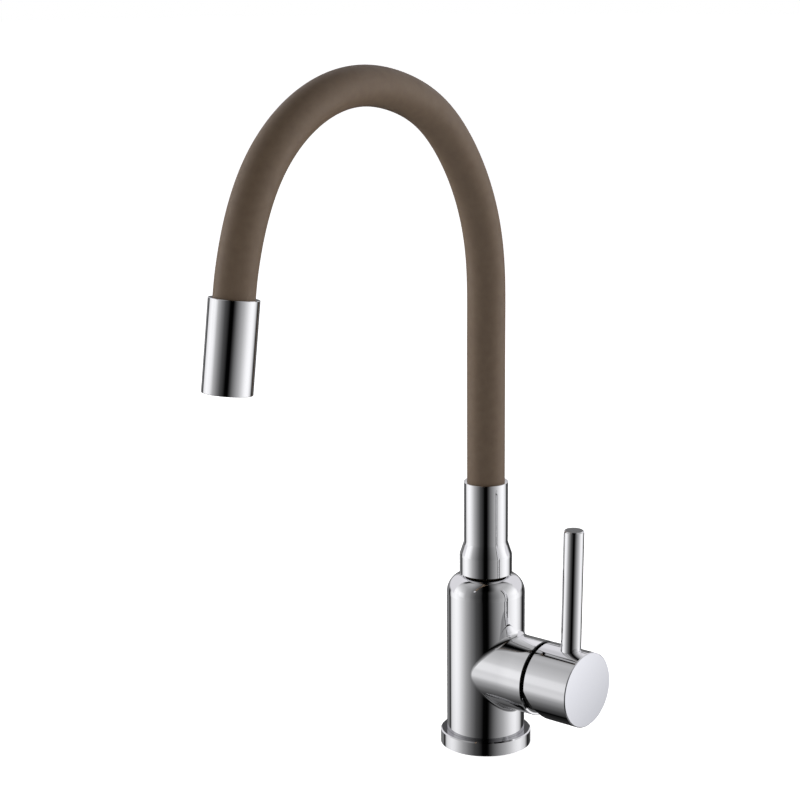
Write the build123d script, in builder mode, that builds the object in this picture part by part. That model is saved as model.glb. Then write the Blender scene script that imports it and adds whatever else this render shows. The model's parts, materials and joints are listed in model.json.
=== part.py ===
"""Flexible kitchen faucet: single-lever side valve, swivel collar and self-supporting hose spout.

Millimetres. +Z is up, the origin is the middle of the base's underside, on the column's axis.
The spout hangs over towards -Y and the lever's valve barrel points to +X.
"""

import os
from math import ceil, cos, radians, sin, sqrt, tan

from build123d import *

# Clearances and overrun
fit_gap = 0.1
turning_gap = 0.05
pin_gap = 0.02
slide_gap = 0.2
end_gap = 0.3
overrun = 2.0

# Base ring, gasket and column
flange_d = 54.8
flange_h = 8.7
flange_edge = 0.7
column_seat_h = 4.0
deck_opening_d = 36.0
gasket_t = 1.6
gasket_d = 48.0
column_d = 47.2
column_top = 107.1
shoulder_r = 11.5
foot_cavity_d = 39.0
foot_cavity_top = 16.0

# Valve barrel on the column's side
barrel_d = 45.2
barrel_z = 50.0
barrel_end = 43.5
barrel_edge = 0.4
barrel_blend = 3.0
pocket_seat_x = 17.5
mouth_thread_d = 38.2

# Water ways: the ports face the cartridge, the sockets take the supply hoses
port_y = 5.0
port_d = 4.4
port_rise = 3.5
outlet_drop = 5.0
outlet_d = 6.0
inlet_x = 6.0
inlet_y = 8.0
inlet_d = 7.0
socket_d = 9.0
socket_depth = 12.0
stud_x = -9.0
stud_d = 6.8
stud_depth = 14.0
riser_x = -3.0
riser_d = 8.0

# Cartridge, a 35 mm ceramic one
cartridge_d = 35.0
port_seal_t = 1.0
port_seal_d = 30.0
cartridge_base_t = 3.0
housing_bore_d = 27.6
neck_d = 30.4
nut_h = 6.0
lip_t = 1.0
lip_bore_d = 25.2
fixed_disc_d = 25.0
disc_t = 3.0
moving_disc_d = 19.6
disc_flat = 8.0
mixing_d = 11.2
mixing_drop = 3.2
mixing_depth = 1.8
carrier_t = 6.0
arm = 8.0
foot_r = 2.5
foot_depth = 2.0
foot_w = 6.0
tongue_w = 3.2
tongue_top = 4.0
stem_w = 8.0
stem_end = 66.0
pin_d = 3.0
pin_l = 25.0
rotor_roof = 3.8
slot_low = 7.0
slot_high = 5.6
dust_ring_t = 1.1
dust_ring_d = 39.6

# Handle: cap, lever rod, grub screw and plug
cap_rear = 45.7
cap_end = 76.3
cap_wall = 2.2
cap_face_t = 3.5
cap_edge = 0.5
relief_angle = 25.0
hub_d = 17.0
hub_rear = 54.0
rod_x = 63.5
rod_d = 12.1
rod_lean = 1.14
rod_top = 96.05
rod_edge = 0.7
rod_seat = 19.5
spigot_d = 6.0
spigot_l = 9.0
rib_w = 13.0
grub_x = 60.5
grub_d = 5.0
grub_l = 8.0
grub_key = 2.5
plug_d = 6.0
plug_t = 3.0

# Swivel nipple, its seal and retaining ring, and the stepped collar
glide_t = 0.9
nipple_d = 20.0
nipple_depth = 24.4
nipple_bore_d = 8.0
snap_up = 3.5
snap_t = 1.6
snap_d = 23.0
snap_groove_d = 17.4
snap_gape = 40.0
seal_up = 10.0
seal_w = 2.2
seal_groove_d = 16.6
nipple_flange_d = 26.0
nipple_flange_h = 6.1
tail_l = 36.0
collar_foot_d = 31.6
collar_foot_h = 11.5
collar_taper_h = 7.6
collar_neck_d = 26.5
collar_neck_h = 37.4
collar_blend = 6.0
collar_edge = 0.2

# Hose: silicone sheath over a gooseneck core, with ball-shaped faces where it flexes
sheath_d = 22.6
core_d = 16.0
core_bore_d = 11.0
layer_gap = 0.15
ball_r = 13.0
socket_gap = 0.55
flex_run = 12.6
sway_up = 41.2
bend_up = 57.0
arch_up = 20.2
rise_r, rise_turn = 138.1, 46.85
shoulder_arc_r, shoulder_turn = 73.75, 23.45
crown_r, crown_turn = 92.6, 90.0
drop_r, drop_turn = 108.2, 11.8
drop_run = 6.75
arc_step = 11.3
core_setback = 2.0

# Outlet head and aerator
head_d = 27.4
head_l = 49.9
head_edge = 0.2
hose_depth = 20.0
aerator_bore_d = 24.4
ferrule_flange_t = 6.0
ferrule_tail_l = 16.0
washer_t = 2.0
washer_bore_d = 15.0
insert_d = 20.6
jet_d = 2.0
jet_ring_d = 13.0
jet_count = 6
mesh_t = 1.0
housing_lip_t = 1.2
housing_lip_bore_d = 18.0
housing_recess = 0.6

# The places that follow from the sizes above
seal_face_x = pocket_seat_x + port_seal_t
disc_seat_x = seal_face_x + cartridge_base_t
moving_disc_x = disc_seat_x + disc_t
carrier_x = moving_disc_x + disc_t
carrier_face_x = carrier_x + carrier_t
foot_x = carrier_face_x - foot_depth
pivot_x = foot_x + arm
rotor_low_x = carrier_face_x + fit_gap + end_gap
rotor_top_x = pivot_x + rotor_roof
housing_top_x = rotor_top_x + fit_gap + lip_t
nut_low_x = barrel_end - nut_h
dust_face_x = barrel_end + dust_ring_t
nipple_low = column_top - nipple_depth
snap_z = nipple_low + snap_up
seal_z = nipple_low + seal_up
collar_low = column_top + glide_t
nipple_flange_top = collar_low + nipple_flange_h
collar_foot_top = collar_low + collar_foot_h
collar_taper_top = collar_foot_top + collar_taper_h
collar_top = collar_taper_top + collar_neck_h
sway_z = collar_top + sway_up
bend_z = sway_z + bend_up
arch_start = bend_z + arch_up
nipple_bore = nipple_d / 2 + turning_gap


def turn(points, frame, axis):
    """Revolve a closed outline of (radius, height) points about the frame's own y axis."""
    with BuildSketch(frame, mode=Mode.PRIVATE) as outline:
        with BuildLine():
            Polyline(*points, close=True)
        make_face()
    revolve(outline.sketch, axis=axis)


def tube(inner, outer, low, high):
    """The outline of a plain ring, from its radii and its ends."""
    return [(inner, low), (outer, low), (outer, high), (inner, high)]


def save(part, label):
    part.label = label
    export_step(part, f"parts/{label}.step")
    print(f"{label}: {len(part.solids())} solid(s), {part.volume:.0f} mm3")


os.makedirs("parts", exist_ok=True)

column = Plane.XZ
column_axis = Axis.Z
barrel = Plane(origin=(0, 0, barrel_z), x_dir=(0, 0, 1), z_dir=(0, 1, 0))
barrel_axis = Axis((0, 0, barrel_z), (1, 0, 0))


def across(x):
    """A plane square to the barrel: its own x axis is Z and its y axis is Y, reversed."""
    return Plane(origin=(x, 0, barrel_z), x_dir=(0, 0, 1), z_dir=(1, 0, 0))


# Base ring: the column stands in its recess, the gasket lies in the rebate underneath
with BuildPart() as base_ring:
    recess_r = column_d / 2 + fit_gap
    turn(
        [
            (gasket_d / 2, 0),
            (flange_d / 2, 0),
            (flange_d / 2, flange_h - flange_edge),
            (flange_d / 2 - flange_edge, flange_h),
            (recess_r, flange_h),
            (recess_r, column_seat_h),
            (deck_opening_d / 2, column_seat_h),
            (deck_opening_d / 2, gasket_t),
            (gasket_d / 2, gasket_t),
        ],
        column,
        column_axis,
    )
save(base_ring.part, "base_ring")

with BuildPart() as base_gasket:
    turn(tube(deck_opening_d / 2, gasket_d / 2 - fit_gap, 0, gasket_t), column, column_axis)
save(base_gasket.part, "base_gasket")

# Body casting: column and barrel in one, with the cartridge pocket and the water ways
with BuildPart() as body_casting:
    with BuildSketch(Plane.XY.offset(column_seat_h)):
        Circle(column_d / 2)
    extrude(amount=column_top - column_seat_h)
    fillet(body_casting.edges().group_by(Axis.Z)[-1], shoulder_r)
    with BuildSketch(across(0)):
        Circle(barrel_d / 2)
    extrude(amount=barrel_end)
    chamfer(body_casting.edges().group_by(Axis.X)[-1], barrel_edge)
    seam = [
        edge
        for edge in body_casting.edges()
        if edge.geom_type not in (GeomType.LINE, GeomType.CIRCLE)
    ]
    fillet(seam, barrel_blend)
    # foot cavity, stud hole and the two supply sockets with their rising ways
    with BuildSketch(Plane.XY.offset(column_seat_h)):
        Circle(foot_cavity_d / 2)
    extrude(amount=foot_cavity_top - column_seat_h, mode=Mode.SUBTRACT)
    with BuildSketch(Plane.XY.offset(foot_cavity_top)):
        with Locations((stud_x, 0)):
            Circle(stud_d / 2)
    extrude(amount=stud_depth, mode=Mode.SUBTRACT)
    with BuildSketch(Plane.XY.offset(foot_cavity_top)):
        with Locations((inlet_x, inlet_y), (inlet_x, -inlet_y)):
            Circle(socket_d / 2)
    extrude(amount=socket_depth, mode=Mode.SUBTRACT)
    with BuildSketch(Plane.XY.offset(foot_cavity_top)):
        with Locations((inlet_x, inlet_y), (inlet_x, -inlet_y)):
            Circle(inlet_d / 2)
    extrude(amount=barrel_z + port_rise - foot_cavity_top, mode=Mode.SUBTRACT)
    with BuildSketch(across(inlet_x)):
        with Locations((port_rise, port_y), (port_rise, -port_y)):
            Circle(port_d / 2)
    extrude(amount=barrel_end - inlet_x, mode=Mode.SUBTRACT)
    # mixed water: from the cartridge's outlet back to the column's axis and up to the spout
    with BuildSketch(across(riser_x)):
        with Locations((-outlet_drop, 0)):
            Circle(outlet_d / 2)
    extrude(amount=barrel_end - riser_x, mode=Mode.SUBTRACT)
    with BuildSketch(Plane.XY.offset(barrel_z - outlet_drop)):
        with Locations((riser_x, 0)):
            Circle(riser_d / 2)
    extrude(amount=nipple_low - barrel_z + outlet_drop, mode=Mode.SUBTRACT)
    # cartridge pocket and the nut's thread at the mouth
    with BuildSketch(across(pocket_seat_x)):
        Circle(cartridge_d / 2 + fit_gap)
    extrude(amount=barrel_end - pocket_seat_x, mode=Mode.SUBTRACT)
    with BuildSketch(across(nut_low_x)):
        Circle(mouth_thread_d / 2)
    extrude(amount=nut_h, mode=Mode.SUBTRACT)
    # the swivel's bore with the groove of its snap ring
    with BuildSketch(Plane.XY.offset(nipple_low - end_gap)):
        Circle(nipple_bore)
    extrude(amount=column_top - nipple_low + end_gap, mode=Mode.SUBTRACT)
    with BuildSketch(Plane.XY.offset(snap_z - fit_gap)):
        Circle(snap_d / 2 + fit_gap)
    extrude(amount=snap_t + 2 * fit_gap, mode=Mode.SUBTRACT)
save(body_casting.part, "body_casting")

# Ceramic cartridge, from its seat outwards
ports = [(port_rise, port_y), (port_rise, -port_y)]


def drill_ports(x, length):
    """The two inlet ports and the outlet port, through a plate that starts at x."""
    with BuildSketch(across(x), mode=Mode.PRIVATE) as holes:
        with Locations(*ports):
            Circle(port_d / 2)
        with Locations((-outlet_drop, 0)):
            Circle(outlet_d / 2)
    extrude(holes.sketch, amount=length, mode=Mode.SUBTRACT)


with BuildPart() as port_seal:
    with BuildSketch(across(pocket_seat_x)):
        Circle(port_seal_d / 2)
    extrude(amount=port_seal_t)
    drill_ports(pocket_seat_x, port_seal_t)
save(port_seal.part, "port_seal")

with BuildPart() as cartridge_base:
    with BuildSketch(across(seal_face_x)):
        Circle(cartridge_d / 2)
    extrude(amount=cartridge_base_t)
    drill_ports(seal_face_x, cartridge_base_t)
save(cartridge_base.part, "cartridge_base")

with BuildPart() as fixed_disc:
    with BuildSketch(across(disc_seat_x)):
        Circle(fixed_disc_d / 2)
    extrude(amount=disc_t)
    drill_ports(disc_seat_x, disc_t)
save(fixed_disc.part, "fixed_disc")

with BuildPart() as cartridge_housing:
    turn(
        [
            (housing_bore_d / 2, disc_seat_x),
            (cartridge_d / 2, disc_seat_x),
            (cartridge_d / 2, nut_low_x),
            (neck_d / 2, nut_low_x),
            (neck_d / 2, housing_top_x),
            (lip_bore_d / 2, housing_top_x),
            (lip_bore_d / 2, housing_top_x - lip_t),
            (housing_bore_d / 2, housing_top_x - lip_t),
        ],
        barrel,
        barrel_axis,
    )
save(cartridge_housing.part, "cartridge_housing")


def flatted_disc(x, thickness):
    """A round plate with two flats, which the rotor's cheeks hold and turn."""
    with BuildSketch(across(x), mode=Mode.PRIVATE) as outline:
        Circle(moving_disc_d / 2)
        Rectangle(moving_disc_d, 2 * disc_flat, mode=Mode.INTERSECT)
    extrude(outline.sketch, amount=thickness)


with BuildPart() as moving_disc:
    flatted_disc(moving_disc_x, disc_t)
    with BuildSketch(across(moving_disc_x)):
        with Locations((-mixing_drop, 0)):
            Circle(mixing_d / 2)
    extrude(amount=mixing_depth, mode=Mode.SUBTRACT)
save(moving_disc.part, "moving_disc")

with BuildPart() as disc_carrier:
    flatted_disc(carrier_x, carrier_t)
    with BuildSketch(across(carrier_face_x)):
        Rectangle(2 * (foot_r + slide_gap), foot_w + 2 * end_gap)
    extrude(amount=-foot_depth - foot_r - slide_gap, mode=Mode.SUBTRACT)
save(disc_carrier.part, "disc_carrier")

# Rotor: a roof with the stem's slot and pin holes, and two cheeks beside the carrier
with BuildPart() as cartridge_rotor:
    rotor_r = housing_bore_d / 2 - turning_gap
    with BuildSketch(across(moving_disc_x + end_gap)):
        Circle(rotor_r)
    extrude(amount=rotor_top_x - moving_disc_x - end_gap)
    with BuildSketch(across(moving_disc_x)):
        Rectangle(2 * housing_bore_d, 2 * (disc_flat + slide_gap))
    extrude(amount=rotor_low_x - moving_disc_x, mode=Mode.SUBTRACT)
    with BuildSketch(across(rotor_low_x)):
        with Locations(((slot_high - slot_low) / 2, 0)):
            Rectangle(slot_low + slot_high, stem_w + 2 * slide_gap)
    extrude(amount=rotor_top_x - rotor_low_x, mode=Mode.SUBTRACT)
    with Locations(Location((pivot_x, 0, barrel_z), (90, 0, 0))):
        Cylinder(pin_d / 2 + pin_gap, 2 * housing_bore_d, mode=Mode.SUBTRACT)
save(cartridge_rotor.part, "cartridge_rotor")

with BuildPart() as pivot_pin:
    with BuildSketch(Plane.XZ):
        with Locations((pivot_x, barrel_z)):
            Circle(pin_d / 2)
    extrude(amount=pin_l / 2, both=True)
save(pivot_pin.part, "pivot_pin")

# Stem: square shank, narrow tongue and a round-ended foot in the carrier's pocket
with BuildPart() as lever_stem:
    with BuildSketch(Plane.XZ):
        with Locations((foot_x, barrel_z)):
            Circle(foot_r)
        with Locations(((foot_x + pivot_x - tongue_top) / 2, barrel_z)):
            Rectangle(pivot_x - tongue_top - foot_x, tongue_w)
    extrude(amount=foot_w / 2, both=True)
    with BuildSketch(across(pivot_x - tongue_top)):
        Rectangle(stem_w, stem_w)
    extrude(amount=stem_end - pivot_x + tongue_top)
    with Locations(Location((pivot_x, 0, barrel_z), (90, 0, 0))):
        Cylinder(pin_d / 2 + turning_gap, 2 * stem_w, mode=Mode.SUBTRACT)
save(lever_stem.part, "lever_stem")

with BuildPart() as cartridge_nut:
    turn(
        tube(neck_d / 2 + fit_gap, mouth_thread_d / 2 - fit_gap, nut_low_x, barrel_end),
        barrel,
        barrel_axis,
    )
save(cartridge_nut.part, "cartridge_nut")

with BuildPart() as dust_ring:
    turn(
        tube(neck_d / 2 + fit_gap, dust_ring_d / 2, barrel_end, dust_face_x),
        barrel,
        barrel_axis,
    )
save(dust_ring.part, "dust_ring")

# Handle cap: a cup with a hub for the stem, ribs for the rod and the grub screw,
# and its rear edge cut away below so that it can tip over the barrel's rim
rod_frame = Plane(
    origin=(rod_x, 0, barrel_z),
    x_dir=(0, 1, 0),
    z_dir=(sin(radians(rod_lean)), 0, cos(radians(rod_lean))),
)
with BuildPart() as handle_cap:
    cap_r = barrel_d / 2
    cup_end = cap_end - cap_face_t
    turn(
        [
            (0, cup_end),
            (cap_r - cap_wall, cup_end),
            (cap_r - cap_wall, cap_rear),
            (cap_r - cap_edge, cap_rear),
            (cap_r, cap_rear + cap_edge),
            (cap_r, cap_end - cap_edge),
            (cap_r - cap_edge, cap_end),
            (0, cap_end),
        ],
        barrel,
        barrel_axis,
    )
    with BuildSketch(across(cup_end)):
        Circle(hub_d / 2)
    extrude(amount=hub_rear - cup_end)
    rib_half = (cup_end - hub_rear) / 2
    with BuildSketch(Plane.XY.offset(barrel_z - cap_r + cap_wall / 2)):
        with Locations((hub_rear + rib_half, 0)):
            Rectangle(2 * rib_half, rib_w)
    extrude(amount=2 * cap_r - cap_wall)
    with BuildSketch(across(hub_rear)):
        Rectangle(stem_w + 2 * fit_gap, stem_w + 2 * fit_gap)
    extrude(amount=stem_end + fit_gap - hub_rear, mode=Mode.SUBTRACT)
    with BuildSketch(rod_frame.offset(rod_seat)):
        Circle(rod_d / 2 + fit_gap)
    extrude(amount=cap_r - rod_seat + overrun, mode=Mode.SUBTRACT)
    with BuildSketch(rod_frame.offset(rod_seat)):
        Circle(spigot_d / 2 + fit_gap)
    extrude(amount=-spigot_l - fit_gap, mode=Mode.SUBTRACT)
    with BuildSketch(Plane.XY.offset(barrel_z)):
        with Locations((grub_x, 0)):
            Circle(grub_d / 2 + fit_gap)
    extrude(amount=-cap_r, mode=Mode.SUBTRACT)
    with BuildSketch(Plane.XY.offset(barrel_z - cap_r)):
        with Locations((grub_x, 0)):
            Circle(plug_d / 2 + fit_gap)
    extrude(amount=plug_t, mode=Mode.SUBTRACT)
    relief_drop = cap_r + overrun
    with BuildSketch(Plane.XZ):
        with BuildLine():
            Polyline(
                (cap_rear, barrel_z),
                (cap_rear + relief_drop * tan(radians(relief_angle)), barrel_z - relief_drop),
                (cap_rear - overrun, barrel_z - relief_drop),
                (cap_rear - overrun, barrel_z),
                close=True,
            )
        make_face()
    extrude(amount=cap_r + overrun, both=True, mode=Mode.SUBTRACT)
save(handle_cap.part, "handle_cap")

with BuildPart() as lever_rod:
    with BuildSketch(rod_frame.offset(rod_seat)):
        Circle(rod_d / 2)
    extrude(amount=rod_top - rod_seat)
    chamfer(lever_rod.edges().group_by(Axis.Z)[-1], rod_edge)
    with BuildSketch(rod_frame.offset(rod_seat)):
        Circle(spigot_d / 2)
    extrude(amount=-spigot_l)
save(lever_rod.part, "lever_rod")

with BuildPart() as grub_screw:
    with BuildSketch(Plane.XY.offset(barrel_z - stem_w / 2)):
        with Locations((grub_x, 0)):
            Circle(grub_d / 2)
    extrude(amount=-grub_l)
    with BuildSketch(Plane.XY.offset(barrel_z - stem_w / 2 - grub_l)):
        with Locations((grub_x, 0)):
            RegularPolygon(grub_key / 2, 6, major_radius=False)
    extrude(amount=grub_l / 2, mode=Mode.SUBTRACT)
save(grub_screw.part, "grub_screw")

with BuildPart() as index_plug:
    with BuildSketch(Plane.XY.offset(barrel_z - cap_r + plug_t)):
        with Locations((grub_x, 0)):
            Circle(plug_d / 2)
    extrude(amount=-plug_t + end_gap)
save(index_plug.part, "index_plug")

# Swivel: glide ring, nipple, its sealing ring, snap ring and the stepped collar
with BuildPart() as glide_ring:
    glide_r = column_d / 2 - shoulder_r - fit_gap
    turn(tube(nipple_bore, glide_r, column_top, collar_low), column, column_axis)
save(glide_ring.part, "glide_ring")

tail_r = core_bore_d / 2 - fit_gap
with BuildPart() as swivel_nipple:
    spigot_r = nipple_d / 2
    points = [(nipple_bore_d / 2, nipple_low), (spigot_r, nipple_low)]
    grooves = [
        (snap_z - fit_gap, snap_t + 2 * fit_gap, snap_groove_d / 2),
        (seal_z, seal_w, seal_groove_d / 2),
    ]
    for low, width, floor in grooves:
        points += [(spigot_r, low), (floor, low), (floor, low + width), (spigot_r, low + width)]
    points += [
        (spigot_r, collar_low),
        (nipple_flange_d / 2, collar_low),
        (nipple_flange_d / 2, nipple_flange_top),
        (tail_r, nipple_flange_top),
    ]
    tail_top = nipple_flange_top + tail_l
    points += [(tail_r, tail_top), (nipple_bore_d / 2, tail_top)]
    turn(points, column, column_axis)
save(swivel_nipple.part, "swivel_nipple")

with BuildPart() as nipple_seal:
    seal_low = seal_z + fit_gap
    seal_high = seal_z + seal_w - fit_gap
    seal_r = spigot_r + turning_gap / 2
    turn(tube(seal_groove_d / 2 + fit_gap, seal_r, seal_low, seal_high), column, column_axis)
save(nipple_seal.part, "nipple_seal")

with BuildPart() as snap_ring:
    with BuildSketch(Plane.XY.offset(snap_z)):
        Circle(snap_d / 2)
        Circle(snap_groove_d / 2 + slide_gap, mode=Mode.SUBTRACT)
        with Locations((0, snap_d / 2)):
            Rectangle(snap_d * sin(radians(snap_gape / 2)), snap_d, mode=Mode.SUBTRACT)
    extrude(amount=snap_t)
save(snap_ring.part, "snap_ring")

with BuildPart() as collar:
    neck_bore = sheath_d / 2 + fit_gap
    foot_bore = nipple_flange_d / 2 + fit_gap
    turn(
        [
            (foot_bore, collar_low),
            (collar_foot_d / 2, collar_low),
            (collar_foot_d / 2, collar_foot_top),
            (collar_neck_d / 2, collar_taper_top),
            (collar_neck_d / 2, collar_top - collar_edge),
            (collar_neck_d / 2 - collar_edge, collar_top),
            (neck_bore, collar_top),
            (neck_bore, nipple_flange_top),
            (foot_bore, nipple_flange_top),
        ],
        column,
        column_axis,
    )
    taper_rims = [
        edge
        for edge in collar.edges().filter_by(GeomType.CIRCLE)
        if collar_low + collar_foot_h / 2 < edge.center().Z < collar_top - collar_neck_h / 2
        and edge.radius > foot_bore
    ]
    fillet(taper_rims, collar_blend)
save(collar.part, "collar")


def go_round(section, radius, turning):
    """The section planes of an arc that carries the hose over towards the front."""
    steps = ceil(turning / arc_step)
    centre = section.origin - section.y_dir * radius
    planes = []
    for n in range(1, steps + 1):
        angle = turning * n / steps
        origin = centre + (section.origin - centre).rotate(Axis.X, angle)
        planes.append(Plane(origin, x_dir=(1, 0, 0), z_dir=section.z_dir.rotate(Axis.X, angle)))
    return planes


def upright(height):
    return Plane(origin=(0, 0, height), x_dir=(1, 0, 0), z_dir=(0, 0, 1))


# The hose's stretches, each as its first plane, its curved planes and its last plane
hose_low = upright(nipple_flange_top)
sway_point = upright(sway_z)
bend_point = upright(bend_z)
rise = [upright(arch_start)]
rise += go_round(rise[-1], rise_r, rise_turn)
rise += go_round(rise[-1], shoulder_arc_r, shoulder_turn)
crown_point = rise[-1]
crown = [crown_point.offset(flex_run)]
crown += go_round(crown[-1], crown_r, crown_turn)
drop_point = crown[-1]
drop = [drop_point.offset(flex_run)]
drop += go_round(drop[-1], drop_r, drop_turn)
head_top = drop[-1].offset(drop_run)
hose_end = head_top.offset(hose_depth)
stretches = [
    (hose_low, [], sway_point),
    (sway_point, [], bend_point),
    (bend_point, rise, crown_point),
    (crown_point, crown, drop_point),
    (drop_point, drop, hose_end),
]


def up_to_ball(reach, radius):
    """How far along the hose the surface of a ball on its axis lies at this radius."""
    return sqrt(reach**2 - radius**2) if reach else 0


def frame_along(section):
    """A plane through the section's axis: radius along x, length along the hose."""
    return Plane(section.origin, x_dir=(1, 0, 0), z_dir=section.x_dir.cross(section.z_dir))


def turn_along(points, section):
    turn(points, frame_along(section), Axis(section.origin, section.z_dir))


def hose_layer(inner, outer, mouth, start, curve, end, tip):
    """One layer of one stretch, from its mouth's outline along its curve to its tip's outline."""
    last = curve[-1] if curve else start
    rest = (end.origin - last.origin).length
    tip = [(radius, rest + reach) for radius, reach in tip]
    if not curve:
        turn_along(mouth + tip, start)
        return
    run = (curve[0].origin - start.origin).length
    turn_along(mouth + [(outer, run), (inner, run)], start)
    for radius, mode in ((outer, Mode.ADD), (inner, Mode.SUBTRACT)):
        sections = []
        for plane in curve:
            with BuildSketch(plane, mode=Mode.PRIVATE) as section:
                Circle(radius)
            sections.append(section.sketch)
        loft(sections, ruled=True, mode=mode)
    turn_along([(inner, 0), (outer, 0)] + tip, last)


# The sheath is cupped over the ball of the stretch before it, the core ends flat short of it
sheath_r = sheath_d / 2
core_r = core_d / 2 - layer_gap
bore_r = core_bore_d / 2
for number, (start, curve, end) in enumerate(stretches, 1):
    cup = 0 if start is hose_low else ball_r + socket_gap
    ball = 0 if end is hose_end else ball_r
    mouth = [(radius, up_to_ball(cup, radius)) for radius in (core_d / 2, sheath_r)]
    tip = [(radius, up_to_ball(ball, radius)) for radius in (sheath_r, core_d / 2)]
    with BuildPart() as hose_sheath:
        hose_layer(core_d / 2, sheath_r, mouth, start, curve, end, tip)
    save(hose_sheath.part, f"hose_sheath_{number}")
    core_from = up_to_ball(cup, bore_r)
    core_to = up_to_ball(ball, core_r) - core_setback if ball else 0
    mouth = [(bore_r, core_from), (core_r, core_from)]
    tip = [(core_r, core_to), (bore_r, core_to)]
    with BuildPart() as gooseneck_core:
        hose_layer(bore_r, core_r, mouth, start, curve, end, tip)
    save(gooseneck_core.part, f"gooseneck_core_{number}")

# Outlet head, turned about the hose's end: lengths run down from the shell's top edge
thread_r = aerator_bore_d / 2
washer_low = hose_depth + ferrule_flange_t
aerator_low = washer_low + washer_t
housing_end = head_l - housing_recess
mesh_low = housing_end - housing_lip_t - mesh_t

with BuildPart() as head_shell:
    turn_along(
        [
            (sheath_d / 2 + fit_gap, 0),
            (head_d / 2 - head_edge, 0),
            (head_d / 2, head_edge),
            (head_d / 2, head_l - head_edge),
            (head_d / 2 - head_edge, head_l),
            (thread_r, head_l),
            (thread_r, hose_depth),
            (sheath_d / 2 + fit_gap, hose_depth),
        ],
        head_top,
    )
save(head_shell.part, "head_shell")

with BuildPart() as hose_ferrule:
    turn_along(
        [
            (nipple_bore_d / 2, hose_depth - ferrule_tail_l),
            (tail_r, hose_depth - ferrule_tail_l),
            (tail_r, hose_depth),
            (thread_r - fit_gap, hose_depth),
            (thread_r - fit_gap, washer_low),
            (nipple_bore_d / 2, washer_low),
        ],
        head_top,
    )
save(hose_ferrule.part, "hose_ferrule")

with BuildPart() as aerator_washer:
    turn_along(tube(washer_bore_d / 2, thread_r - 2 * fit_gap, washer_low, aerator_low), head_top)
save(aerator_washer.part, "aerator_washer")

with BuildPart() as aerator_insert:
    with BuildSketch(head_top.offset(aerator_low)):
        Circle(insert_d / 2)
        with PolarLocations(jet_ring_d / 2, jet_count):
            Circle(jet_d / 2, mode=Mode.SUBTRACT)
    extrude(amount=mesh_low - aerator_low)
save(aerator_insert.part, "aerator_insert")

with BuildPart() as aerator_mesh:
    with BuildSketch(head_top.offset(mesh_low)):
        Circle(insert_d / 2)
    extrude(amount=mesh_t)
save(aerator_mesh.part, "aerator_mesh")

with BuildPart() as aerator_housing:
    turn_along(
        [
            (insert_d / 2 + fit_gap, aerator_low),
            (thread_r - fit_gap, aerator_low),
            (thread_r - fit_gap, housing_end),
            (housing_lip_bore_d / 2, housing_end),
            (housing_lip_bore_d / 2, housing_end - housing_lip_t),
            (insert_d / 2 + fit_gap, housing_end - housing_lip_t),
        ],
        head_top,
    )
save(aerator_housing.part, "aerator_housing")
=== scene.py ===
"""Looks of the flexible kitchen faucet: chrome valve body, collar, lever and outlet head, silicone hose."""

import json
from math import atan2, cos, pi, radians, sin, tau

import bmesh
import bpy
from mathutils import Matrix, Vector


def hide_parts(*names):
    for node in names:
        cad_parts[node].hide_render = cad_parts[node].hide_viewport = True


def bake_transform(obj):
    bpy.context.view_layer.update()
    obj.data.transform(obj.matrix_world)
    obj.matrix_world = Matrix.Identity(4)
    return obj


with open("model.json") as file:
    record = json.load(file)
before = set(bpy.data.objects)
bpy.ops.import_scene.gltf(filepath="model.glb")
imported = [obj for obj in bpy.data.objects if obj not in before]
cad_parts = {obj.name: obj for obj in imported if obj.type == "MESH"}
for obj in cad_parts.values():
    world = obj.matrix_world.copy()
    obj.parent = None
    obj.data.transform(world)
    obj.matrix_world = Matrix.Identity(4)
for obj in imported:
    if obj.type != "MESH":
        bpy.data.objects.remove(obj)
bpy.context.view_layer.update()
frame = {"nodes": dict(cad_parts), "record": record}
nodes = frame["nodes"]
scene = bpy.context.scene
MM = 0.001


# ---------------------------------------------------------------- shader maths
class Sock:
    """A shader socket whose values add, multiply and so on by Math nodes."""

    def __init__(self, tree, socket):
        self.tree = tree
        self.socket = socket

    def math(self, operation, *values):
        return self.tree.node("ShaderNodeMath", {"operation": operation}, (self, *values))[0]

    def __add__(self, other):
        return self.math("ADD", other)

    def __sub__(self, other):
        return self.math("SUBTRACT", other)

    def __mul__(self, other):
        return self.math("MULTIPLY", other)

    def __truediv__(self, other):
        return self.math("DIVIDE", other)

    def __rsub__(self, other):
        return self.math("MULTIPLY_ADD", -1.0, other)

    def __rmul__(self, other):
        return self * other


class Tree:
    """The node tree of one material or of the world."""

    def __init__(self, owner):
        owner.use_nodes = True
        self.nodes = owner.node_tree.nodes
        self.links = owner.node_tree.links
        self.nodes.clear()

    def node(self, kind, settings=None, values=()):
        """Adds a node, sets it up, and fills its sockets by place or by name."""
        made = self.nodes.new(kind)
        for key, value in (settings or {}).items():
            if key == "stops":
                set_stops(made.color_ramp, value)
            else:
                setattr(made, key, value)
        pairs = values.items() if isinstance(values, dict) else enumerate(values)
        for key, value in pairs:
            if isinstance(value, Sock):
                self.links.new(value.socket, made.inputs[key])
            else:
                made.inputs[key].default_value = value
        return [Sock(self, out) for out in made.outputs]


def set_stops(ramp, stops):
    """Gives a ramp its (position, grey or colour) stops."""
    while len(ramp.elements) > 1:
        ramp.elements.remove(ramp.elements[-1])
    for n, (position, value) in enumerate(stops):
        stop = ramp.elements[0] if n == 0 else ramp.elements.new(position)
        stop.position = position
        colour = (value, value, value) if isinstance(value, float) else value
        stop.color = (*colour, 1.0)


def object_place(tree):
    """The x, y and z of a point on the object, in metres."""
    return tree.node("ShaderNodeSeparateXYZ", None, (tree.node("ShaderNodeTexCoord")[3],))


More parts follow.
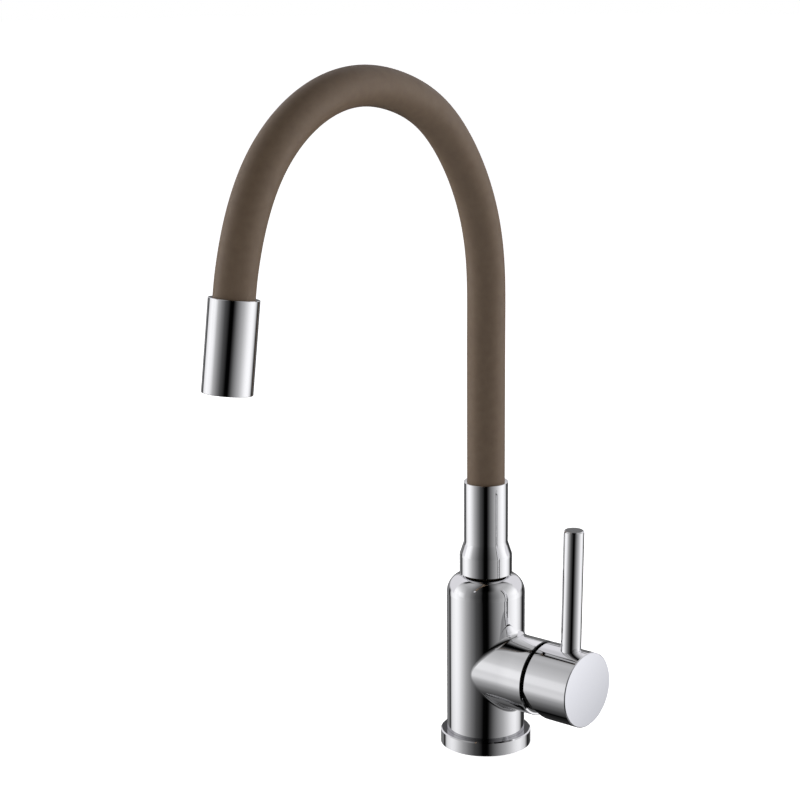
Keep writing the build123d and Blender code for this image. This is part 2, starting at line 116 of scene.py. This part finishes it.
def noise(tree, scale, detail):
    """An even noise through the object."""
    values = {"Vector": tree.node("ShaderNodeTexCoord")[3], "Scale": scale, "Detail": detail}
    return tree.node("ShaderNodeTexNoise", None, values)[0]


def ramped(value, low, high, at_low, at_high):
    """A ramp between two greys or colours."""
    stops = [(at_low, low), (at_high, high)]
    return value.tree.node("ShaderNodeValToRGB", {"stops": stops}, (value,))[0]


def eased(value, low, high):
    """A soft step from 0 to 1 as the value goes from low to high."""
    values = (value, low, high, 0.0, 1.0)
    return value.tree.node("ShaderNodeMapRange", {"interpolation_type": "SMOOTHSTEP"}, values)[0]


def band(value, rise, fall):
    """1 between two soft steps, each given by its two ends, and 0 outside them."""
    return eased(value, *rise) * (1 - eased(value, *fall))


def mixed(share, first, second):
    """The first colour where the share is 0, and the second where it is 1."""
    return share.tree.node("ShaderNodeMix", {"data_type": "RGBA"}, {0: share, 6: first, 7: second})[2]


def split_for_camera(tree, for_others, for_camera):
    """One shader for camera rays and another for all other rays."""
    is_camera = tree.node("ShaderNodeLightPath")[0]
    return tree.node("ShaderNodeMixShader", None, (is_camera, for_others, for_camera))[0]


# ---------------------------------------------------------------- finishes
METAL = 1.0
NO_METAL = 0.0
BUMP_DEPTH = 0.2 * MM
BARREL_Z = 50.0 * MM
RIM_EDGE_R = 20.9 * MM
RIM_EDGE_WIDTH = 0.5 * MM
# in mm, as `along` takes its places
BARREL_RIM_X = 43.02
BARREL_END_X = 43.45
BARREL_BOTTOM_Z = 36.0
BARREL_FLANK_Z = 44.0
CAP_FACE_X = 76.1
RING_TOP_Z = 8.6
CAP_SIDE_ROUGHNESS = 0.035
CAP_FACE_ROUGHNESS = 0.105
# how many times the tones of the painted reflection on the cap's face would follow each other over a metre of
# it
PAINTED_REFLECTION_TONES_PER_METRE = 15


def mottled(low, high, scale, detail=3.0):
    """A function that gives a tree this mottling between two greys or colours."""
    return lambda tree: ramped(noise(tree, scale, detail), low, high, 0.3, 0.7)


def along(tree, axis, low, high, at_low, at_high):
    """A ramp between two greys or colours along one axis of the object, between two places in mm."""
    # it takes up half of the node's 0 to 1, so a narrow step stays sharp
    share = (object_place(tree)[axis] - at_low * MM) * (0.5 / (MM * (at_high - at_low)))
    return ramped(share, low, high, 0.0, 0.5)


def finish_material(name, metallic, base, roughness, grain=None):
    """One surface: base and roughness as functions of the tree, grain as strength, scale and detail."""
    material = bpy.data.materials.new(name)
    tree = Tree(material)
    values = {"Base Color": base(tree), "Roughness": roughness(tree), "Metallic": metallic}
    if grain:
        strength, scale, detail = grain
        height = noise(tree, scale, detail)
        bump = {"Strength": strength, "Distance": BUMP_DEPTH, "Height": height}
        values["Normal"] = tree.node("ShaderNodeBump", None, bump)[0]
    shader = tree.node("ShaderNodeBsdfPrincipled", None, values)[0]
    tree.node("ShaderNodeOutputMaterial", None, (shader,))
    return material


def on_cap_face(tree):
    """0 on the cap's turned side and 1 on its flat end face."""
    return along(tree, 0, 0.0, 1.0, CAP_FACE_X - 0.1, CAP_FACE_X + 0.1)


def cap_colour_painted_reflection(tree):
    """Polished on the side, softly lapped on the face, with a painted reflection on the face whose grey runs
    from one edge to the other.
    """
    _, y, z = object_place(tree)
    across = (z - BARREL_Z - y) * PAINTED_REFLECTION_TONES_PER_METRE + 0.5
    # painted reflection: the flat face's grey runs from darker to lighter across it
    painted_reflection_tone = ramped(across, (0.61, 0.617, 0.65), (0.87, 0.875, 0.915), 0.0, 1.0)
    return mixed(on_cap_face(tree), (0.89, 0.89, 0.9, 1), painted_reflection_tone)


def cap_roughness(tree):
    """Mirror smooth on the side, and a little softer on the face."""
    return on_cap_face(tree) * (CAP_FACE_ROUGHNESS - CAP_SIDE_ROUGHNESS) + CAP_SIDE_ROUGHNESS


def groove_painted_shade(tree):
    """1 where the groove's painted shade goes: on the barrel's end face and its chamfered rim; at the bottom,
    rim and outermost edge stay bright.
    """
    _, y, z = object_place(tree)
    above = along(tree, 2, 0.0, 1.0, BARREL_BOTTOM_Z, BARREL_FLANK_Z)
    z = z - BARREL_Z
    edge = ((y * y + z * z).math("SQRT") - RIM_EDGE_R) / RIM_EDGE_WIDTH
    edge = edge.math("MAXIMUM", 0.0).math("MINIMUM", 1.0)
    face = along(tree, 0, 0.0, 1.0, BARREL_END_X - 0.01, BARREL_END_X + 0.01)
    rim = along(tree, 0, 0.0, 1.0, BARREL_RIM_X - 0.02, BARREL_RIM_X + 0.02)
    return (face * (1 - edge * (1 - above))).math("MAXIMUM", rim * above)


def body_colour_painted_light_shade(tree):
    """Polished, with painted light that makes the barrel brighter than the column, and painted shade that
    makes the groove behind the cap dark.
    """
    # painted light: the chrome's colour is painted brighter from the column onto the barrel
    polished_painted_brighter = along(tree, 0, (0.878, 0.878, 0.885), (0.965, 0.965, 0.972), 26.0, 34.0)
    # painted shade: the groove's faces behind the cap are painted nearly black
    return mixed(groove_painted_shade(tree), polished_painted_brighter, (0.09, 0.09, 0.092, 1))


def ring_colour_painted_shade(tree):
    """Polished, with painted shade on its top face, which is painted a darker grey."""
    # painted shade: the top face is painted a darker grey than the sides
    return along(tree, 2, (0.88, 0.88, 0.888), (0.34, 0.34, 0.355), RING_TOP_Z, RING_TOP_Z + 0.09)


POLISH = (0.028, 0.05, 45.0)
PLASTIC_GRAIN = (0.1, 1800.0, 3.0)
# per slot: the material's name and metallic, then its mottled colour, its mottled roughness and its grain
PLAIN_FINISHES = {
    "polished_chrome": (
        ("polished_chrome", METAL),
        ((0.868, 0.868, 0.875), (0.892, 0.892, 0.9), 30.0), POLISH, None,
    ),
    "hose_silicone": (
        ("hose_silicone", NO_METAL),
        ((0.142, 0.097, 0.063), (0.158, 0.11, 0.071), 220.0, 4.0), (0.5, 0.6, 160.0), (0.12, 2600.0, 2.0),
    ),
    "stainless": (
        ("plain_stainless", METAL),
        ((0.5, 0.5, 0.51), (0.62, 0.62, 0.63), 260.0), (0.24, 0.4, 300.0), None,
    ),
    "turned_brass": (
        ("turned_brass", METAL),
        ((0.66, 0.47, 0.2), (0.78, 0.58, 0.28), 180.0), (0.25, 0.42, 240.0), None,
    ),
    "ceramic": (
        ("lapped_ceramic", NO_METAL),
        ((0.8, 0.79, 0.76), (0.88, 0.87, 0.84), 300.0), (0.12, 0.2, 300.0), None,
    ),
    "white_acetal": (
        ("white_acetal", NO_METAL),
        ((0.74, 0.74, 0.72), (0.8, 0.8, 0.78), 200.0), (0.4, 0.5, 200.0), PLASTIC_GRAIN,
    ),
    "grey_acetal": (
        ("grey_acetal", NO_METAL),
        ((0.15, 0.155, 0.16), (0.19, 0.195, 0.2), 200.0), (0.4, 0.52, 200.0), PLASTIC_GRAIN,
    ),
    "black_acetal": (
        ("black_acetal", NO_METAL),
        ((0.006, 0.006, 0.006), (0.012, 0.012, 0.012), 200.0), (0.45, 0.6, 200.0), PLASTIC_GRAIN,
    ),
    "seal_rubber": (
        ("seal_rubber", NO_METAL),
        ((0.012, 0.012, 0.012), (0.022, 0.022, 0.022), 300.0), (0.55, 0.7, 260.0), (0.15, 2200.0, 3.0),
    ),
}
finishes = {
    slot: finish_material(*kind, mottled(*colour), mottled(*roughness), grain)
    for slot, (kind, colour, roughness, grain) in PLAIN_FINISHES.items()
}
own_finishes = {
    "handle_cap": finish_material("cap_chrome", METAL, cap_colour_painted_reflection, cap_roughness),
    "body_casting": finish_material("body_chrome", METAL, body_colour_painted_light_shade, mottled(*POLISH)),
    "base_ring": finish_material("ring_chrome", METAL, ring_colour_painted_shade, mottled(0.03, 0.055, 45.0)),
}
for part in frame["record"]["subparts"]:
    surface = nodes[part["node"]].data
    surface.materials.clear()
    surface.materials.append(own_finishes.get(part["node"], finishes[part["material_slot"]]))


# ---------------------------------------------------------------- hose sheath
SHEATH_R = 11.3 * MM
SHEATH_BORE_R = 8.0 * MM
RING_STEP = 2.0 * MM
HOSE_SIDES = 96
SHEATH_FOOT_Z = 150.0 * MM
UPRIGHT_TOP_Z = 282.9 * MM
SHORT_RUN = 12.6 * MM
RUN_TO_HEAD = 6.75 * MM
RUN_IN_HEAD = 18.0 * MM
LOWER_SEAM_Z = 233.5 * MM
RISE_SEAM_ANGLE = radians(38)
CROWN_SEAM_RUN = 75.0 * MM
CLOSE = 0.001 * MM


def heading(angle):
    """The direction of the hose once it has turned by this angle from upright."""
    return Vector((0, -sin(angle), cos(angle)))


class Route:
    """The hose's middle line, as runs and arcs in the plane x = 0, with a ring at every step."""

    def __init__(self, place):
        self.place = Vector(place)
        self.angle = 0.0
        self.rings = [(self.place.copy(), 0.0)]

    def step(self, direction, length, turn=0.0):
        self.place = self.place + direction * length
        self.angle += turn
        self.rings.append((self.place.copy(), self.angle))

    def run(self, length):
        steps = max(1, round(length / RING_STEP))
        for _ in range(steps):
            self.step(heading(self.angle), length / steps)

    def bend(self, radius, degrees):
        steps = max(1, round(radius * radians(degrees) / RING_STEP))
        turn = radians(degrees) / steps
        for _ in range(steps):
            self.step(heading(self.angle + turn / 2), 2 * radius * sin(turn / 2), turn)

    def last_index(self):
        return len(self.rings) - 1


route = Route((0, 0, SHEATH_FOOT_Z))
route.run(UPRIGHT_TOP_Z - SHEATH_FOOT_Z)
route.bend(138.1 * MM, 46.85)
route.bend(73.75 * MM, 23.45)
crown_index = route.last_index()
route.run(SHORT_RUN)
route.bend(92.6 * MM, 90.0)
drop_index = route.last_index()
route.run(SHORT_RUN)
route.bend(108.2 * MM, 11.8)
route.run(RUN_TO_HEAD + RUN_IN_HEAD)


def averaged(places, reach=9):
    """Each place as the mean of its neighbours, twice over, with both ends run on straight."""
    for _ in range(2):
        before = [places[0] + (places[0] - places[1]) * n for n in range(reach, 0, -1)]
        after = [places[-1] + (places[-1] - places[-2]) * n for n in range(1, reach + 1)]
        longer = before + places + after
        width = 2 * reach + 1
        places = [sum(longer[n : n + width], Vector()) / width for n in range(len(places))]
    return places


def softened(rings, held=24):
    """The route without its sudden changes of bend; its ends stay where they are."""
    places = [place for place, _ in rings]
    soft = averaged(places)
    # averaging flattens the arcs, so what it lost of them is added back
    lost = averaged([place - near for place, near in zip(places, soft)])
    last = len(rings) - 1
    moved = []
    for n, place in enumerate(places):
        share = min(1.0, n / held, (last - n) / held)
        moved.append(place.lerp(soft[n] + lost[n], share * share * (3 - 2 * share)))
    made = []
    for n, place in enumerate(moved):
        chord = moved[min(n + 1, last)] - moved[max(n - 1, 0)]
        made.append((place, atan2(-chord.y, chord.z)))
    return made


rings = softened(route.rings)


def ring_matrix(index):
    place, angle = rings[index]
    return Matrix.Translation(place) @ Matrix.Rotation(angle, 4, "X")


def point_near(index, further):
    """The point on the hose's line, straight on from a ring by so many metres."""
    place, angle = rings[index]
    return tuple(place + heading(angle) * further)


def as_object(name, mesh, material, sharp_angle):
    """Turns a finished bmesh into a shown object with its material and smooth shading."""
    data = bpy.data.meshes.new(name)
    mesh.to_mesh(data)
    mesh.free()
    data.materials.append(material)
    data.shade_smooth()
    data.set_sharp_from_angle(angle=radians(sharp_angle))
    made = bpy.data.objects.new(name, data)
    scene.collection.objects.link(made)
    return made


def sheath_piece(name, first, last):
    """A closed length of the sheath between two rings of the route: outer wall, bore and both ends."""
    mesh = bmesh.new()
    loops = []
    for wall in (SHEATH_R, SHEATH_BORE_R):
        circle = bmesh.ops.create_circle(mesh, segments=HOSE_SIDES, radius=wall)["verts"]
        bmesh.ops.transform(mesh, matrix=ring_matrix(first), verts=circle)
        loops.append(list({edge for vert in circle for edge in vert.link_edges}))
    start_loops = list(loops)
    for n in range(first, last):
        step = ring_matrix(n + 1) @ ring_matrix(n).inverted()
        for which, loop in enumerate(loops):
            grown = bmesh.ops.extrude_edge_only(mesh, edges=loop)["geom"]
            moved = [item for item in grown if isinstance(item, bmesh.types.BMVert)]
            loops[which] = [item for item in grown if isinstance(item, bmesh.types.BMEdge)]
            bmesh.ops.transform(mesh, matrix=step, verts=moved)
    bmesh.ops.bridge_loops(mesh, edges=start_loops[0] + start_loops[1])
    bmesh.ops.bridge_loops(mesh, edges=loops[0] + loops[1])
    bmesh.ops.recalc_face_normals(mesh, faces=mesh.faces)
    return as_object(name, mesh, finishes["hose_silicone"], sharp_angle=50.0)


lower_seam = next(n for n, (place, _) in enumerate(rings) if place.z >= LOWER_SEAM_Z - CLOSE)
rise_seam = next(n for n, (_, angle) in enumerate(rings) if angle > RISE_SEAM_ANGLE)
crown_seam = crown_index + round(CROWN_SEAM_RUN / RING_STEP)
# per piece: its first and last ring, the bodies before and after its flexing stretch,
# where that stretch starts and ends, and the solids it stands for
PIECES = {
    "sheath_foot": (
        (0, lower_seam),
        ("spout_base", "hose_lower"),
        ((0, 0, 0.180), (0, 0, 0.230)),
        ("hose_sheath_1",),
    ),
    "sheath_rise": (
        (lower_seam, rise_seam),
        ("hose_lower", "hose_rise"),
        ((0, 0, 0.238), (0, 0, 0.318)),
        ("hose_sheath_2", "hose_sheath_3"),
    ),
    "sheath_crown": (
        (rise_seam, crown_seam),
        ("hose_rise", "hose_crown"),
        (point_near(crown_index, -0.045), point_near(crown_index, 0.062)),
        ("hose_sheath_4",),
    ),
    "sheath_drop": (
        (crown_seam, len(rings) - 1),
        ("hose_crown", "outlet"),
        (point_near(drop_index, -0.05), point_near(drop_index, 0.036)),
        ("hose_sheath_5",),
    ),
}
for name, ((first, last), (before, after), (start, end), stands_for) in PIECES.items():
    piece = sheath_piece(name, first, last)
    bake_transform(piece)
    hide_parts(*stands_for)


# ---------------------------------------------------------------- camera
SENSOR_MM = 36.0
PICTURE_PX = 800.0
FOCAL_PX = 2366.589
CAMERA_PLACE = (0.847373, -1.069844, 0.540156)
CAMERA_TURN = 40.52092
CAMERA_DIP = 13.42543
CAMERA_ROLL = -0.44193

camera_data = bpy.data.cameras.new("camera")
camera_data.sensor_width = SENSOR_MM
camera_data.lens = FOCAL_PX * SENSOR_MM / PICTURE_PX
camera_data.clip_start = 0.05
camera_data.clip_end = 50.0
camera = bpy.data.objects.new("camera", camera_data)
camera.matrix_world = (
    Matrix.Translation(CAMERA_PLACE)
    @ Matrix.Rotation(radians(CAMERA_TURN), 4, "Z")
    @ Matrix.Rotation(radians(90 - CAMERA_DIP), 4, "X")
    @ Matrix.Rotation(radians(CAMERA_ROLL), 4, "Z")
)
scene.collection.objects.link(camera)
scene.camera = camera


# ---------------------------------------------------------------- studio
CHROME_SHARE = 0.88
FRONT = radians(38.4)
FLOOR_RADIUS = 6.0
# the walls as chrome shows them. ROUND: display grey, by the angle in degrees round the object from
# the camera's side, positive to the right. HEIGHT: the share of it, by the angle above the horizon
ROUND = [
    (-180, 70), (-160, 118), (-140, 120), (-135, 42), (-129, 42), (-121.5, 212), (-113, 232),
    (-98, 246), (-87, 236), (-77, 212), (-68.5, 188), (-60, 160), (-44, 116), (-29, 70),
    (-14.4, 38), (-8, 5), (2.5, 1), (7, 14), (14.4, 60), (21.6, 93), (36, 136), (52, 170),
    (68.5, 208), (77, 227), (87, 241), (97, 247), (106, 241), (121, 203), (129, 125), (136, 20),
    (142, 20), (152, 80),
]
HEIGHT = [
    (-90, 0.0), (-64, 0.0), (-53, 0.06), (-44, 0.155), (-32, 0.4), (-25, 0.68), (-20, 0.98),
    (-15, 1.07), (0, 1.05), (9, 1.1), (18, 1.05), (35, 0.69), (48, 0.48), (90, 0.4),
]
HIGHEST_SHARE = 1.2


def level(shown):
    """The light that chrome mirrors as this display grey, 0 to 255."""
    value = shown / 255
    linear = value / 12.92 if value <= 0.04045 else ((value + 0.055) / 1.055) ** 2.4
    return linear / CHROME_SHARE


def angles(*degrees):
    return [radians(angle) for angle in degrees]


panel_light = level(216)
dim_light = level(105)

world = bpy.data.worlds.new("studio")
scene.world = world
scene.view_settings.view_transform = "Standard"
tree = Tree(world)
direction = tree.node("ShaderNodeTexCoord")[0]
x, y, z = tree.node("ShaderNodeSeparateXYZ", None, (direction,))
right = x * cos(FRONT) + y * sin(FRONT)
towards = x * sin(FRONT) - y * cos(FRONT)
# straight overhead is still the front
overhead = z.math("MAXIMUM", 0.0)
azimuth = right.math("ARCTAN2", towards + 0.15 * overhead)
elevation = z.math("ARCSINE")
round_ramp = [((angle + 180) / 360, level(shown)) for angle, shown in ROUND]
height_ramp = [((angle + 90) / 180, share / HIGHEST_SHARE) for angle, share in HEIGHT]
side = tree.node("ShaderNodeValToRGB", {"stops": round_ramp}, (azimuth / tau + 0.5,))[0]
height = tree.node("ShaderNodeValToRGB", {"stops": height_ramp}, (elevation / pi + 0.5,))[0]

# the front wall keeps its brightness up to the top, the side walls darken upwards
in_front = (1 - eased(azimuth.math("ABSOLUTE"), *angles(35, 90))) * eased(z, 0.0, 0.1)
walls = side * (HIGHEST_SHARE * height * (1 - in_front) + in_front)
# a brighter lamp stands in the left wall
lamp = band(azimuth, angles(-89, -81), angles(-72, -64)) * band(elevation, angles(-7, 3), angles(14, 24))
walls = walls * (lamp * 0.2 + 1)
# steeply below lies a grey ground, but the barrel's underside mirrors the dark on the left and behind
open_side = band(azimuth, angles(-72, -58), angles(140, 165))
under = (1 - eased(elevation, *angles(-58, -42))) * open_side
walls = walls * (1 - under) + under * dim_light

# a pale panel stands behind from the horizon up; straight behind, it shows in a low strip and higher up
straight = eased(azimuth.math("ABSOLUTE"), *angles(160, 170))
strip = band(elevation, angles(15, 15.6), angles(17, 17.6))
over_strip = strip + eased(elevation, *angles(21.5, 24.5))
from_horizon = eased(elevation, *angles(-4, 4))
behind = 0.35 * right.math("ABSOLUTE") - towards
panel = eased(behind, 0.6, 0.66) * (straight * over_strip + (1 - straight) * from_horizon)
# the dark middle of the front wall runs on overhead, and a dark gap parts the left wall from the panel
stripe = eased(z, 0.62, 0.85) * (1 - eased((right - 0.04).math("ABSOLUTE"), 0.0, 0.45))
gap = eased(z, 0.55, 0.65) * band(behind, (0.48, 0.53), (0.6, 0.63))
gap = gap * band(0 - right, (0.15, 0.25), (0.47, 0.6))
dim = straight * from_horizon
rear = walls * (1 - dim) + dim * dim_light
shown = (rear * (1 - panel) + panel * panel_light) * (1 - stripe) * (1 - gap * 0.95)
tint = mixed(panel, (1, 1, 1.02, 1), (0.985, 0.975, 1.02, 1))
tinted = tree.node("ShaderNodeVectorMath", {"operation": "SCALE"}, {0: tint, "Scale": shown})[0]
lit = tree.node("ShaderNodeBackground", None, (tinted, 1.0))[0]
white = tree.node("ShaderNodeBackground", None, ((1, 1, 1, 1), 1.0))[0]
tree.node("ShaderNodeOutputWorld", None, (split_for_camera(tree, lit, white),))

floor_mesh = bmesh.new()
bmesh.ops.create_circle(floor_mesh, cap_ends=True, segments=64, radius=FLOOR_RADIUS)
floor_material = bpy.data.materials.new("pale_floor")
tree = Tree(floor_material)
paper = tree.node("ShaderNodeBsdfDiffuse", None, ((0.9, 0.9, 0.9, 1), 0.0))[0]
glow = tree.node("ShaderNodeEmission", None, ((1, 1, 1, 1), 0.75))[0]
glowing_paper = tree.node("ShaderNodeAddShader", None, (paper, glow))[0]
tree.node("ShaderNodeOutputMaterial", None, (split_for_camera(tree, paper, glowing_paper),))
floor = as_object("floor", floor_mesh, floor_material, sharp_angle=40.0)
floor.visible_glossy = False


def around(angle, distance, height):
    """A place round the object, by its angle from the camera's side, positive to the right."""
    turned = FRONT + radians(angle)
    return (distance * sin(turned), -distance * cos(turned), height)


# soft panels of light, which the mirror surfaces don't show because the studio already has them
LIT_MIDDLE = Vector((0, -0.08, 0.2))
LAMPS = {
    "left_panel": (around(-109, 1.5, 0.6), (0.8, 1.4), 17),
    "right_panel": (around(107, 1.5, 0.25), (0.8, 1.4), 16),
    "front_panel": (around(0, 2.0, 0.3), (1.2, 1.0), 10),
}
for name, (place, size, power) in LAMPS.items():
    data = bpy.data.lights.new(name, "AREA")
    data.shape = "RECTANGLE"
    data.size, data.size_y = size
    data.energy = power
    soft_lamp = bpy.data.objects.new(name, data)
    soft_lamp.location = place
    soft_lamp.rotation_euler = (LIT_MIDDLE - Vector(place)).to_track_quat("-Z", "Y").to_euler()
    soft_lamp.visible_glossy = False
    scene.collection.objects.link(soft_lamp)
